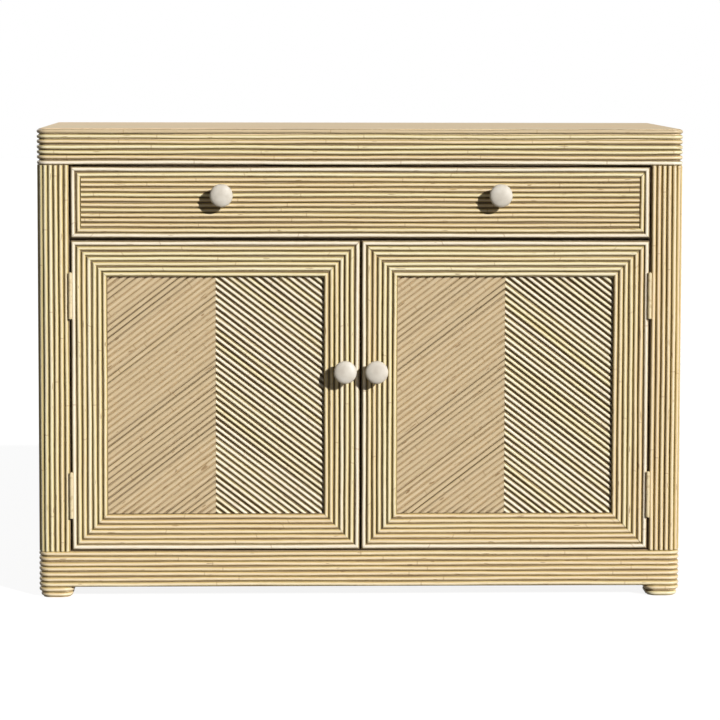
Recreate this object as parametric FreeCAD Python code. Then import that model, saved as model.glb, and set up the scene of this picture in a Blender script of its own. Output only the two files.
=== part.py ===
import FreeCAD, Part
import math
import os

# Reed-faced cabinet: one drawer over two doors, on four short feet.
# +X is to the right, +Y to the back and +Z up. The origin is under the middle of the whole outline.

# ---------------------------------------------------------------- driving dimensions, millimetres

case_width = 1067.0          # over the reeds of both sides
case_depth = 457.0           # from the crests of the front reeds to the back
foot_height = 18.0
door_height = 513.5

reed_width = 8.3             # a split reed: flat side down, round side out
reed_gap = 0.2               # between two reeds side by side
reed_height = 4.0
reed_crest = 4.6             # width of the crown of a reed
band_reed_count = 7          # in the top band and in the bottom band
post_reed_count = 4          # on the flat front of a corner post
corner_reed_count = 3        # round a front corner
drawer_front_height = 117.0
drawer_field_count = 10      # level reeds inside the border of the drawer front
drawer_ring_count = 2        # mitred border reeds round the drawer front
frame_reed_count = 7         # mitred reeds round a door frame
chevron_angle = 37.3         # degrees above the horizontal
chevron_offcut = 60.0        # mm3, a smaller piece of reed is left out
corner_radius = 15.0         # of the wood, under the reeds

panel_thickness = 18.0       # top, deck and shelf
side_thickness = 15.0
back_thickness = 6.0
back_rebate = 12.0           # how far the back laps on the rear posts
housing_depth = 5.0          # of the deck in the sides
post_depth = 49.0
rear_post_size = 40.0
rail_thickness = 18.0
drawer_rail_height = 20.0
drawer_rail_lap = 12.5       # how far the tops of the doors lap the drawer rail

front_gap = 3.0              # round the doors and the drawer front
rail_gap = 4.5               # between the drawer front and the doors
stop_gap = 0.5               # between a closed front and the drawer rail

front_thickness = 18.0       # wood of the drawer front and of the door frames
door_panel_thickness = 6.0
panel_recess = 7.0           # of the door panel behind the wood of its frame
panel_groove = 8.0
panel_play = 1.0             # of the door panel and of the drawer bottom in their grooves

drawer_side_thickness = 12.0
drawer_side_height = 112.0
drawer_rear_room = 5.0       # between the drawer and the rear posts
drawer_side_inset = 1.0      # of a drawer side inside the end of the drawer front
drawer_side_housing = 6.0    # of the drawer sides in the drawer front
drawer_bottom_thickness = 6.0
drawer_bottom_rise = 8.0     # of the drawer bottom above the edge of the sides
drawer_bottom_groove = 6.0
slide_clearance = 0.3        # under the drawer sides
guide_clearance = 0.5        # beside the drawer sides
kicker_clearance = 1.0       # over the drawer sides
runner_width = 25.0          # under a drawer side
guide_height = 32.0
kicker_height = 20.0

shelf_height = 345.0         # clear height under the shelf
shelf_setback = 4.0          # of the shelf behind the front posts
shelf_clearance = 1.0        # at the ends and the back of the shelf
shelf_cleat_width = 18.0
shelf_cleat_height = 20.0
shelf_cleat_setback = 10.0   # of a cleat behind the front edge of the shelf

foot_size = 51.0             # of the wooden block, under its reeds
foot_taper = 3.0             # inset of the lowest step of a foot
foot_sole = 0.5              # of the block below its lowest reed
foot_ring_count = 2          # rings of reed round a foot, each on a step of the block

knob_radius = 19.0
knob_projection = 30.0       # from the crests of the reeds
knob_foot_radius = 9.0
knob_rim_distance = 17.0     # of the underside of the head from the crests
knob_rim_width = 8.0
knob_crown_radius = 12.0     # of the flat in the middle of the head
drawer_knob_spread = 459.0   # between the two drawer knobs
drawer_knob_rise = 12.5      # above the middle of the drawer front
door_knob_inset = 24.5       # from the inner edge of a door
door_knob_rise = 41.0        # above the middle of a door

hinge_length = 76.0
hinge_inset = 53.0           # from the top and bottom edges of a door
hinge_knuckle_gap = 0.4      # between the lower knuckle, on the frame, and the upper, on the door
hinge_barrel_radius = 3.2
hinge_pin_radius = 1.5
hinge_pin_clearance = 0.08
hinge_pin_tip = 0.8          # of the pin above the upper knuckle
hinge_leaf_thickness = 1.4
hinge_leaf_end = 3.0         # from the free edge of a leaf to the back of the door
hinge_axis_out = 1.5         # in front of the crests of the reeds
hinge_axis_in = 0.8          # outside the edge of the door
hinge_relief = 0.5           # round the barrel, cut in the reed beside it

catch_width = 40.0
catch_height = 14.0
catch_depth = 26.0
catch_inset = 12.0           # from the middle of the case
strike_width = 30.0
strike_height = 12.0
strike_thickness = 1.2
catch_clearance = 0.3        # between a catch and its strike plate

# ---------------------------------------------------------------- places worked out from them

reed_pitch = reed_width + reed_gap
band_height = band_reed_count * reed_pitch
frame_width = frame_reed_count * reed_pitch
post_width = corner_radius + post_reed_count * reed_pitch

crest_y = (knob_projection - case_depth) / 2.0
wood_y = crest_y + reed_height
back_y = crest_y + case_depth
wood_x = case_width / 2.0 - reed_height
inner_x = wood_x - side_thickness
post_x = wood_x - post_width
post_back_y = wood_y + post_depth
rear_post_y = back_y - rear_post_size
rail_back_y = wood_y + rail_thickness
back_inside_y = back_y - back_thickness
front_back_y = wood_y + front_thickness

deck_z = foot_height + band_height
door_z = deck_z + front_gap
door_top_z = door_z + door_height
drawer_z = door_top_z + rail_gap
drawer_top_z = drawer_z + drawer_front_height
band_z = drawer_top_z + front_gap
top_z = band_z + band_height
case_top_z = top_z - panel_thickness
drawer_rail_z = door_top_z - drawer_rail_lap
runner_top_z = drawer_rail_z + drawer_rail_height
shelf_z = deck_z + shelf_height

door_inner_x = -front_gap / 2.0
door_outer_x = -post_x + front_gap
drawer_end_x = post_x - front_gap
drawer_side_x = drawer_end_x - drawer_side_inset
drawer_back_y = rear_post_y - drawer_rear_room

right = FreeCAD.Vector(1, 0, 0)
backward = FreeCAD.Vector(0, 1, 0)
up = FreeCAD.Vector(0, 0, 1)
origin = FreeCAD.Vector(0, 0, 0)


# ---------------------------------------------------------------- forms

def block(x0, x1, y0, y1, z0, z1):
    """A rectangular board between two corners."""
    return Part.makeBox(x1 - x0, y1 - y0, z1 - z0, FreeCAD.Vector(x0, y0, z0))


def rounded_block(x0, x1, y0, y1, z0, z1, rounded):
    """A board with round upright corners, named by their signs in X and Y."""
    board = block(x0, x1, y0, y1, z0, z1)
    edges = []
    for edge in board.Edges:
        centre = edge.CenterOfMass - board.CenterOfMass
        if abs(edge.tangentAt(edge.FirstParameter).z) < 0.5:
            continue
        if (math.copysign(1, centre.x), math.copysign(1, centre.y)) in rounded:
            edges.append(edge)
    return board.makeFillet(corner_radius, edges) if edges else board


def mirrored(shape):
    """The same piece on the right of the cabinet."""
    return shape.mirror(origin, right)


def both(shape):
    """The piece of the left and its twin of the right."""
    return [shape, mirrored(shape)]


def reed_section(width):
    """Half-round section of a split reed: places across it and heights above its flat side."""
    shoulder = (width - reed_crest) / 2.0
    half = width / 2.0
    return [(-half, 0.0), (shoulder - half, reed_height), (half - shoulder, reed_height), (half, 0.0)]


def reed_solid(sections):
    """A closed solid through sections that all have the corners of reed_section."""
    rings = [sections[0], sections[-1]]
    for first, last in zip(sections, sections[1:]):
        for i in range(len(first)):
            j = (i + 1) % len(first)
            rings.append([first[i], first[j], last[j], last[i]])
    faces = [Part.Face(Part.makePolygon(ring + ring[:1])) for ring in rings]
    solid = Part.Solid(Part.Shell(faces))
    if solid.Volume < 0:
        solid.reverse()
    return solid


def reed(start, end, across, out, mitred=False, width=reed_width):
    """A straight reed; a mitred one has 45 degree ends and is longer on the side across points to."""
    along = (end - start).normalize()
    sections = []
    for place, slope in ((start, -1.0), (end, 1.0)):
        corners = []
        for side, rise in reed_section(width):
            shift = slope * side if mitred else 0.0
            corners.append(place + along * shift + across * side + out * rise)
        sections.append(corners)
    return reed_solid(sections)


def bent_reed(points):
    """A level reed bent from point to point, with its flat side on them and its round side outwards."""
    outs = [up.cross(end - start).normalize() for start, end in zip(points, points[1:])]
    sections = []
    for place, before, after in zip(points, outs[:1] + outs, outs + outs[-1:]):
        mitre = (before + after) * (1 / (1 + before.dot(after)))
        sections.append([place + up * side + mitre * rise for side, rise in reed_section(reed_width)])
    return reed_solid(sections)


def corner_bend(centre_x, centre_y, z, side):
    """Points of a bend round a front corner, from its front face to its side face, -1 left or 1 right."""
    step = math.pi / 2 / corner_reed_count
    reach = corner_radius / math.cos(step / 2)
    points = []
    for i in range(corner_reed_count):
        angle = (i + 0.5) * step
        x = centre_x + side * reach * math.sin(angle)
        points.append(FreeCAD.Vector(x, centre_y - reach * math.cos(angle), z))
    return points


def reed_row(first, step, count, run, out):
    """Reeds side by side: the first reed's flat starts at first, and each runs along run."""
    across = FreeCAD.Vector(step).normalize()
    row = []
    for i in range(count):
        start = first + step * (i + 0.5)
        row.append(reed(start, start + run, across, out, width=step.Length - reed_gap))
    return row


def reed_rings(x0, x1, z0, z1, y, count):
    """Rings of mitred reeds on an upright front, from its edge inwards."""
    out = -backward
    rings = []
    for i in range(count):
        inset = (i + 0.5) * reed_pitch
        a = FreeCAD.Vector(x0 + inset, y, z0 + inset)
        b = FreeCAD.Vector(x1 - inset, y, z0 + inset)
        c = FreeCAD.Vector(x1 - inset, y, z1 - inset)
        d = FreeCAD.Vector(x0 + inset, y, z1 - inset)
        for start, end, across in ((a, b, -up), (b, c, right), (c, d, up), (d, a, -right)):
            rings.append(reed(start, end, across, out, mitred=True))
    return rings


# ---------------------------------------------------------------- case

def front_left_post():
    return rounded_block(-wood_x, -post_x, wood_y, post_back_y, foot_height, case_top_z, [(-1, -1)])


def rear_left_post():
    post = block(-wood_x, rear_post_size - wood_x, rear_post_y, back_y, foot_height, case_top_z)
    return post.cut(back_panel())


def top_panel():
    corners = [(-1, -1), (1, -1)]
    return rounded_block(-wood_x, wood_x, wood_y, back_y, case_top_z, top_z, corners)


def back_panel():
    reach = wood_x - rear_post_size + back_rebate
    return block(-reach, reach, back_inside_y, back_y, deck_z - panel_thickness, case_top_z)


def deck_panel():
    """Floor of the case, housed in the sides and notched round the posts."""
    reach = inner_x + housing_depth
    deck = block(-reach, reach, rail_back_y, back_inside_y, deck_z - panel_thickness, deck_z)
    posts = both(front_left_post()) + both(rear_left_post())
    return deck.cut(posts)


def left_side_panel():
    """Plywood side between the posts, with a housing for the deck."""
    side = block(-wood_x, -inner_x, post_back_y, rear_post_y, foot_height, case_top_z)
    return side.cut(deck_panel())


def shelf_front_y():
    return post_back_y + shelf_setback


def shelf():
    end_x = inner_x - shelf_clearance
    rear_y = rear_post_y - shelf_clearance
    return block(-end_x, end_x, shelf_front_y(), rear_y, shelf_z, shelf_z + panel_thickness)


def left_shelf_cleat():
    """Batten on the side that carries the end of the shelf."""
    x1 = shelf_cleat_width - inner_x
    y0 = shelf_front_y() + shelf_cleat_setback
    return block(-inner_x, x1, y0, rear_post_y, shelf_z - shelf_cleat_height, shelf_z)


def top_front_rail():
    return block(-post_x, post_x, wood_y, rail_back_y, band_z, case_top_z)


def bottom_front_rail():
    return block(-post_x, post_x, wood_y, rail_back_y, foot_height, deck_z)


def drawer_rail():
    """Rail behind the gap between drawer and doors: carries the drawer and stops the fronts."""
    return block(-post_x, post_x, front_back_y + stop_gap, post_back_y, drawer_rail_z, runner_top_z)


def left_drawer_runner():
    reach = drawer_side_x - runner_width
    return block(-inner_x, -reach, post_back_y, rear_post_y, drawer_rail_z, runner_top_z)


def left_drawer_guide():
    face_x = drawer_side_x + guide_clearance
    return block(-inner_x, -face_x, post_back_y, rear_post_y, runner_top_z, runner_top_z + guide_height)


def left_drawer_kicker():
    reach = drawer_side_x - runner_width
    z = runner_top_z + slide_clearance + drawer_side_height + kicker_clearance
    return block(-inner_x, -reach, post_back_y, rear_post_y, z, z + kicker_height)


# ---------------------------------------------------------------- feet

def foot_steps(front_y):
    """Steps of a left foot block from the floor up, each as x0, x1, y0, y1 and the middle of its reed."""
    height = (foot_height - foot_sole) / foot_ring_count
    steps = []
    for i in range(foot_ring_count):
        inset = foot_taper * (foot_ring_count - 1 - i) / max(foot_ring_count - 1, 1)
        x0 = -wood_x + inset
        y0 = front_y + inset
        size = foot_size - 2 * inset
        steps.append((x0, x0 + size, y0, y0 + size, foot_sole + (i + 0.5) * height))
    return steps


def foot_block(front_y, rounded):
    """Wooden block that steps in towards the floor."""
    half = (foot_height - foot_sole) / foot_ring_count / 2
    foot = None
    for x0, x1, y0, y1, z in foot_steps(front_y):
        bottom = z - half if foot else 0.0
        step = rounded_block(x0, x1, y0, y1, bottom, z + half, rounded)
        foot = foot.fuse(step) if foot else step
    return foot


def front_left_foot():
    return foot_block(wood_y, [(-1, -1), (1, -1)])


def rear_left_foot():
    return foot_block(back_y - reed_height - foot_size, [])


def front_left_foot_reeds():
    """Rings of reed: one bent round the front corners and one straight across the back."""
    rings = []
    for x0, x1, y0, y1, z in foot_steps(wood_y):
        centre_y = y0 + corner_radius
        start = FreeCAD.Vector(x1, y1, z)
        end = FreeCAD.Vector(x0, y1, z)
        inner_bend = corner_bend(x1 - corner_radius, centre_y, z, 1)
        outer_bend = corner_bend(x0 + corner_radius, centre_y, z, -1)
        rings.append(bent_reed([start] + inner_bend[::-1] + outer_bend + [end]))
        rings.append(reed(start, end, up, backward))
    return rings


def rear_left_foot_reeds():
    """Rings of four reeds that meet at the square corners: two across, and two between them."""
    rings = []
    for x0, x1, y0, y1, z in foot_steps(back_y - reed_height - foot_size):
        for x, out in ((x0, -right), (x1, right)):
            rings.append(reed(FreeCAD.Vector(x, y0, z), FreeCAD.Vector(x, y1, z), up, out))
        for y, out in ((y0, -backward), (y1, backward)):
            start = FreeCAD.Vector(x0 - reed_height, y, z)
            rings.append(reed(start, FreeCAD.Vector(x1 + reed_height, y, z), up, out))
    return rings


# ---------------------------------------------------------------- reeds of the case

def band_reeds(z):
    """A band of horizontal reeds: a front piece, and one round each corner and along the side."""
    start = FreeCAD.Vector(-post_x, wood_y, z)
    reeds = reed_row(start, up * reed_pitch, band_reed_count, right * (2 * post_x), -backward)
    for i in range(band_reed_count):
        seam = start + up * ((i + 0.5) * reed_pitch) - right * reed_gap
        bend = corner_bend(corner_radius - wood_x, wood_y + corner_radius, seam.z, -1)
        reeds += both(bent_reed([seam] + bend + [FreeCAD.Vector(-wood_x, back_y, seam.z)]))
    return reeds


def left_wall_reeds():
    """Upright reeds between the bands: on the post's front, round its corner and along the side."""
    run = up * (band_z - deck_z - 2 * reed_gap)
    z = deck_z + reed_gap
    front = FreeCAD.Vector(-post_x, wood_y, z)
    reeds = reed_row(front, -right * reed_pitch, post_reed_count, run, -backward)

    step = math.pi / 2 / corner_reed_count
    centre = FreeCAD.Vector(corner_radius - wood_x, wood_y + corner_radius, z)
    width = 2 * corner_radius * math.tan(step / 2) - reed_gap
    for i in range(corner_reed_count):
        angle = (i + 0.5) * step
        out = FreeCAD.Vector(-math.sin(angle), -math.cos(angle), 0)
        base = centre + out * corner_radius
        reeds.append(reed(base, base + run, up.cross(out), out, width=width))

    side = FreeCAD.Vector(-wood_x, wood_y + corner_radius, z)
    count = round((back_y - side.y) / reed_pitch)
    reeds += reed_row(side, backward * ((back_y - side.y) / count), count, run, -right)
    return reeds


# ---------------------------------------------------------------- drawer

def drawer_left_side():
    z0 = runner_top_z + slide_clearance
    y0 = front_back_y - drawer_side_housing
    x0 = -drawer_side_x
    side = block(x0, x0 + drawer_side_thickness, y0, drawer_back_y, z0, z0 + drawer_side_height)
    return side.cut(drawer_bottom_slot())


def drawer_back():
    """Back of the drawer, between its sides and over its bottom."""
    reach = drawer_side_x - drawer_side_thickness
    z0 = runner_top_z + slide_clearance
    bottom_top_z = z0 + drawer_bottom_rise + drawer_bottom_thickness
    y0 = drawer_back_y - drawer_side_thickness
    return block(-reach, reach, y0, drawer_back_y, bottom_top_z, z0 + drawer_side_height)


def drawer_bottom_slot():
    """Space of the grooves that hold the drawer bottom."""
    reach = drawer_side_x - drawer_side_thickness + drawer_bottom_groove
    z0 = runner_top_z + slide_clearance + drawer_bottom_rise
    y0 = front_back_y - drawer_bottom_groove
    return block(-reach, reach, y0, drawer_back_y, z0, z0 + drawer_bottom_thickness)


def drawer_bottom():
    reach = drawer_side_x - drawer_side_thickness + drawer_bottom_groove - panel_play
    z0 = runner_top_z + slide_clearance + drawer_bottom_rise
    y0 = front_back_y - drawer_bottom_groove + panel_play
    return block(-reach, reach, y0, drawer_back_y, z0, z0 + drawer_bottom_thickness)


def drawer_front():
    """Front board with housings for the sides and a groove for the bottom."""
    front = block(-drawer_end_x, drawer_end_x, wood_y, front_back_y, drawer_z, drawer_top_z)
    return front.cut(both(drawer_left_side()) + [drawer_bottom_slot()])


def drawer_front_reeds():
    """Mitred border rings round straight field reeds."""
    reeds = reed_rings(-drawer_end_x, drawer_end_x, drawer_z, drawer_top_z, wood_y, drawer_ring_count)
    inset = drawer_ring_count * reed_pitch
    start = FreeCAD.Vector(-drawer_end_x + inset + reed_gap, wood_y, drawer_z + inset)
    run = right * (2 * (drawer_end_x - inset - reed_gap))
    step = up * ((drawer_front_height - 2 * inset) / drawer_field_count)
    reeds += reed_row(start, step, drawer_field_count, run, -backward)
    return reeds


# ---------------------------------------------------------------- knobs

def knob(x, z):
    """Turned mushroom knob on the crests of the reeds: a neck, a straight rim and a low conical face."""
    outline = [
        (0.0, 0.0),
        (knob_foot_radius, 0.0),
        (knob_foot_radius, knob_rim_distance),
        (knob_radius, knob_rim_distance),
        (knob_radius, knob_rim_distance + knob_rim_width),
        (knob_crown_radius, knob_projection),
        (0.0, knob_projection),
        (0.0, 0.0),
    ]
    corners = [FreeCAD.Vector(x + radius, crest_y - distance, z) for radius, distance in outline]
    return Part.Face(Part.makePolygon(corners)).revolve(FreeCAD.Vector(x, crest_y, z), backward, 360)


def drawer_left_knob():
    z = drawer_z + drawer_front_height / 2.0 + drawer_knob_rise
    return knob(-drawer_knob_spread / 2.0, z)


# ---------------------------------------------------------------- left door

def door_hinge_stile():
    stile = block(door_outer_x, door_outer_x + frame_width, wood_y, front_back_y, door_z, door_top_z)
    return stile.cut(door_panel_slot())


def door_lock_stile():
    stile = block(door_inner_x - frame_width, door_inner_x, wood_y, front_back_y, door_z, door_top_z)
    return stile.cut(door_panel_slot())


def door_field():
    """Opening of the door frame: x0, x1, z0, z1."""
    x0 = door_outer_x + frame_width
    x1 = door_inner_x - frame_width
    return x0, x1, door_z + frame_width, door_top_z - frame_width


def door_panel_slot():
    """Space of the grooves round the door frame; it takes the panel and the rails' stub tenons."""
    x0, x1, z0, z1 = door_field()
    y0 = wood_y + panel_recess
    reach = panel_groove
    slot = block(x0 - reach, x1 + reach, y0, y0 + door_panel_thickness, z0 - reach, z1 + reach)
    for z in (door_z, door_top_z - frame_width):
        slot = slot.fuse(block(x0 - reach, x1 + reach, y0, y0 + door_panel_thickness, z, z + frame_width))
    return slot


def door_panel():
    x0, x1, z0, z1 = door_field()
    y0 = wood_y + panel_recess
    reach = panel_groove - panel_play
    return block(x0 - reach, x1 + reach, y0, y0 + door_panel_thickness, z0 - reach, z1 + reach)


def door_rail(z, groove_z):
    """Rail with a stub tenon at each end and a groove for the panel."""
    x0, x1, z0, z1 = door_field()
    y0 = wood_y + panel_recess
    y1 = y0 + door_panel_thickness
    rail = block(x0, x1, wood_y, front_back_y, z, z + frame_width)
    tenons = block(x0 - panel_groove, x1 + panel_groove, y0, y1, z, z + frame_width)
    groove = block(x0 - panel_groove, x1 + panel_groove, y0, y1, groove_z, groove_z + panel_groove)
    return rail.fuse(tenons).cut(groove).removeSplitter()


def door_top_rail():
    z = door_top_z - frame_width
    return door_rail(z, z)


def door_bottom_rail():
    return door_rail(door_z, door_z + frame_width - panel_groove)


def hinge_places():
    """Lower ends of the two hinges."""
    return [door_z + hinge_inset, door_top_z - hinge_inset - hinge_length]


def hinge_axis(z):
    return FreeCAD.Vector(door_outer_x - hinge_axis_in, crest_y - hinge_axis_out, z)


def door_frame_reeds():
    """Seven mitred rings; the outer one is relieved beside each hinge barrel."""
    reeds = reed_rings(door_outer_x, door_inner_x, door_z, door_top_z, wood_y, frame_reed_count)
    reliefs = []
    for z in hinge_places():
        base = hinge_axis(z - hinge_relief)
        length = hinge_length + hinge_pin_tip + 2 * hinge_relief
        reliefs.append(Part.makeCylinder(hinge_barrel_radius + hinge_relief, length, base, up))
    relieved = []
    for piece in reeds:
        if piece.BoundBox.XMin < door_outer_x + reed_pitch / 2 and piece.BoundBox.XLength < reed_pitch:
            piece = piece.cut(reliefs)
        relieved.append(piece)
    return relieved


def chevron_reeds():
    """Slanting reeds on the door panel that rise to its middle, cut to the opening of the frame."""
    x0, x1, z0, z1 = door_field()
    middle = (x0 + x1) / 2
    y = wood_y + panel_recess
    field = block(x0 + reed_gap, middle - reed_gap / 2, y - reed_height, y, z0 + reed_gap, z1 - reed_gap)
    angle = math.radians(chevron_angle)
    along = FreeCAD.Vector(math.cos(angle), 0, math.sin(angle))
    across = FreeCAD.Vector(-math.sin(angle), 0, math.cos(angle))
    low = FreeCAD.Vector(middle, y, z0)
    high = FreeCAD.Vector(x0, y, z1)
    count = math.ceil((high - low).dot(across) / reed_pitch)
    reach = along * (field.BoundBox.DiagonalLength)
    reeds = []
    for i in range(count):
        centre = low + across * ((i + 0.5) * reed_pitch)
        piece = reed(centre - reach, centre + reach, across, -backward).common(field)
        if piece.Volume < chevron_offcut:
            continue
        solid = piece.Solids[0]
        reeds += [solid, solid.mirror(FreeCAD.Vector(middle, 0, 0), right)]
    return reeds


def left_door_knob():
    z = door_z + door_height / 2.0 + door_knob_rise
    return knob(door_inner_x - door_knob_inset, z)


# ---------------------------------------------------------------- hinges and catches

def hinge_leaf(z, x, z0, z1):
    """A hinge leaf whose plate starts at x, with one knuckle between the heights z0 and z1."""
    axis = hinge_axis(z0)
    clear_y = axis.y + hinge_barrel_radius + hinge_knuckle_gap
    edge_y = front_back_y - hinge_leaf_end
    plate = block(x, x + hinge_leaf_thickness, clear_y, edge_y, z, z + hinge_length)
    tongue = block(x, x + hinge_leaf_thickness, axis.y, clear_y, z0, z1)
    return plate.fuse([tongue, Part.makeCylinder(hinge_barrel_radius, z1 - z0, axis, up)])


def frame_hinge_leaf(z):
    """Leaf on the post: the lower knuckle, with the pin fixed in it."""
    z1 = z + (hinge_length - hinge_knuckle_gap) / 2
    pin = Part.makeCylinder(hinge_pin_radius, hinge_length + hinge_pin_tip, hinge_axis(z), up)
    return hinge_leaf(z, -post_x, z, z1).fuse(pin).removeSplitter()


def door_hinge_leaf(z):
    """Leaf on the edge of the door: the upper knuckle, bored to turn on the pin."""
    z0 = z + (hinge_length + hinge_knuckle_gap) / 2
    z1 = z + hinge_length
    bore = Part.makeCylinder(hinge_pin_radius + hinge_pin_clearance, z1 - z0, hinge_axis(z0), up)
    return hinge_leaf(z, door_outer_x - hinge_leaf_thickness, z0, z1).cut(bore).removeSplitter()


def left_strike_plate():
    x1 = -catch_inset - (catch_width - strike_width) / 2
    z1 = drawer_rail_z - (catch_height - strike_height) / 2
    return block(x1 - strike_width, x1, front_back_y, front_back_y + strike_thickness,
                 z1 - strike_height, z1)


def left_door_catch():
    """Magnetic catch under the drawer rail."""
    y0 = front_back_y + strike_thickness + catch_clearance
    x1 = -catch_inset
    return block(x1 - catch_width, x1, y0, y0 + catch_depth, drawer_rail_z - catch_height, drawer_rail_z)


# ---------------------------------------------------------------- the whole cabinet

def save(name, solids):
    """Write one node: a piece, or a group of like pieces."""
    shape = Part.makeCompound(solids) if isinstance(solids, list) else solids
    shape.exportStep("parts/" + name + ".step")


def save_pair(name, solids):
    """Write the left node and its mirror image; the name has SIDE where left or right goes."""
    if not isinstance(solids, list):
        solids = [solids]
    save(name.replace("SIDE", "left"), solids if len(solids) > 1 else solids[0])
    twins = [mirrored(solid) for solid in solids]
    save(name.replace("SIDE", "right"), twins if len(twins) > 1 else twins[0])


os.makedirs("parts", exist_ok=True)

save("top_panel", top_panel())
save("deck_panel", deck_panel())
save("back_panel", back_panel())
save_pair("SIDE_side_panel", left_side_panel())
save_pair("front_SIDE_post", front_left_post())
save_pair("rear_SIDE_post", rear_left_post())
save("top_front_rail", top_front_rail())
save("bottom_front_rail", bottom_front_rail())
save("drawer_rail", drawer_rail())
save("drawer_runners", both(left_drawer_runner()))
save("drawer_guides", both(left_drawer_guide()))
save("drawer_kickers", both(left_drawer_kicker()))
save("shelf", shelf())
save("shelf_cleats", both(left_shelf_cleat()))

save_pair("front_SIDE_foot", front_left_foot())
save_pair("rear_SIDE_foot", rear_left_foot())
save("foot_reeds", [twin for ring in front_left_foot_reeds() + rear_left_foot_reeds() for twin in both(ring)])

save("bottom_band_reeds", band_reeds(foot_height))
save("top_band_reeds", band_reeds(band_z))
save_pair("SIDE_wall_reeds", left_wall_reeds())

save("drawer_front", drawer_front())
save_pair("drawer_SIDE_side", drawer_left_side())
save("drawer_back", drawer_back())
save("drawer_bottom", drawer_bottom())
save("drawer_front_reeds", drawer_front_reeds())
save("drawer_knobs", both(drawer_left_knob()))

save_pair("SIDE_door_hinge_stile", door_hinge_stile())
save_pair("SIDE_door_lock_stile", door_lock_stile())
save_pair("SIDE_door_top_rail", door_top_rail())
save_pair("SIDE_door_bottom_rail", door_bottom_rail())
save_pair("SIDE_door_panel", door_panel())
save_pair("SIDE_door_frame_reeds", door_frame_reeds())
save_pair("SIDE_door_chevron_reeds", chevron_reeds())
save_pair("SIDE_door_knob", left_door_knob())

save_pair("SIDE_frame_hinge_leaves", [frame_hinge_leaf(z) for z in hinge_places()])
save_pair("SIDE_door_hinge_leaves", [door_hinge_leaf(z) for z in hinge_places()])
save_pair("SIDE_door_strike_plate", left_strike_plate())
save("door_catches", both(left_door_catch()))
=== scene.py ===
import math
import random

import bpy
import numpy as np
from mathutils import Color, Matrix, Vector


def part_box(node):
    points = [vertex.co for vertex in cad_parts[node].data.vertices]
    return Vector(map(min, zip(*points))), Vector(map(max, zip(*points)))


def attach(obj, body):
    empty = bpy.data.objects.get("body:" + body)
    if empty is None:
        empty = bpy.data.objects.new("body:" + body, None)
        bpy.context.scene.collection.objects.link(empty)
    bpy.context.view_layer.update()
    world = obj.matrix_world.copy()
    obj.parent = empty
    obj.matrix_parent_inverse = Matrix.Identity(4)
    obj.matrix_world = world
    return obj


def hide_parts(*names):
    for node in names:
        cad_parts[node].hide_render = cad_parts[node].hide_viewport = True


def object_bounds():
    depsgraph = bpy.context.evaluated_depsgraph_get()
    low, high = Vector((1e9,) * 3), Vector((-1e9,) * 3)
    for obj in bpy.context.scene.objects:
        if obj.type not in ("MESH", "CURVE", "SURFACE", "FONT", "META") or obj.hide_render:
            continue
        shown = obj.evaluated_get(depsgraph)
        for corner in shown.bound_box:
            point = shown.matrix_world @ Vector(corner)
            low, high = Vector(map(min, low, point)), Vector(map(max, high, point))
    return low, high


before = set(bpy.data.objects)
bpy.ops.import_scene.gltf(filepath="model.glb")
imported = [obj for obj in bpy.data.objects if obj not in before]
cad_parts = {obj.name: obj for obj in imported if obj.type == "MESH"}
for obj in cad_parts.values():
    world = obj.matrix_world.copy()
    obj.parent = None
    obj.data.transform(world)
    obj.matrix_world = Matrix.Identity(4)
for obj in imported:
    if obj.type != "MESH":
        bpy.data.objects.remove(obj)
cad_low, cad_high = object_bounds()
bpy.ops.object.select_all(action="DESELECT")


# ---------------------------------------------------------------- carcass of solid wood
# Posts, rails, drawer runners, cleats and feet are of a pale hardwood, sawn square and planed.
# They are glued and screwed together. The grain runs along each piece, under one thin coat of lacquer.

def screen_colour(red, green, blue):
    """A colour given as a screen shows it, from 0 to 255."""
    return (*Color((red / 255, green / 255, blue / 255)).from_srgb_to_scene_linear(), 1.0)


def grey(level):
    """A colour with one level from 0 to 1 in each channel."""
    return (level, level, level, 1.0)


def new_material(name):
    """An empty finish: the material, its node tree and its surface shader."""
    material = bpy.data.materials.new(name)
    material.use_nodes = True
    tree = material.node_tree
    return material, tree, tree.nodes["Principled BSDF"]


def shader_node(tree, kind, sockets, **settings):
    """A node with its settings; what is given for a socket is a value or another node's output."""
    made = tree.nodes.new("ShaderNode" + kind)
    for name, value in settings.items():
        setattr(made, name, value)
    for name, value in sockets.items():
        if isinstance(value, bpy.types.NodeSocket):
            tree.links.new(value, made.inputs[name])
        else:
            made.inputs[name].default_value = value
    return made


def reckon(tree, operation, *values):
    """The result of a sum on numbers or other nodes' outputs."""
    return shader_node(tree, "Math", dict(enumerate(values)), operation=operation).outputs["Value"]


def noise(tree, place, scale, detail):
    """A soft random pattern over a place, mostly from 0.3 to 0.7."""
    return shader_node(tree, "TexNoise", {"Vector": place, "Scale": scale, "Detail": detail}).outputs["Fac"]


def ramp(tree, factor, *stops):
    """A colour ramp through stops, each a place from 0 to 1 and a colour."""
    made = shader_node(tree, "ValToRGB", {"Fac": factor})
    elements = made.color_ramp.elements
    while len(elements) < len(stops):
        elements.new(0.5)
    for element, (place, colour) in zip(elements, stops):
        element.position = place
        element.color = colour
    return made.outputs["Color"]


def blend(tree, kind, amount, below, above):
    """Two colours laid over each other, by mixing or by multiplying."""
    made = shader_node(tree, "MixRGB", {"Fac": amount, "Color1": below, "Color2": above}, blend_type=kind)
    return made.outputs["Color"]


def fade(tree, value, start, end, low=0.0, high=1.0):
    """A smooth step of a value from low at start to high at end."""
    sockets = {"Value": value, "From Min": start, "From Max": end, "To Min": low, "To Max": high}
    return shader_node(tree, "MapRange", sockets, interpolation_type="SMOOTHSTEP").outputs["Result"]


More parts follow.
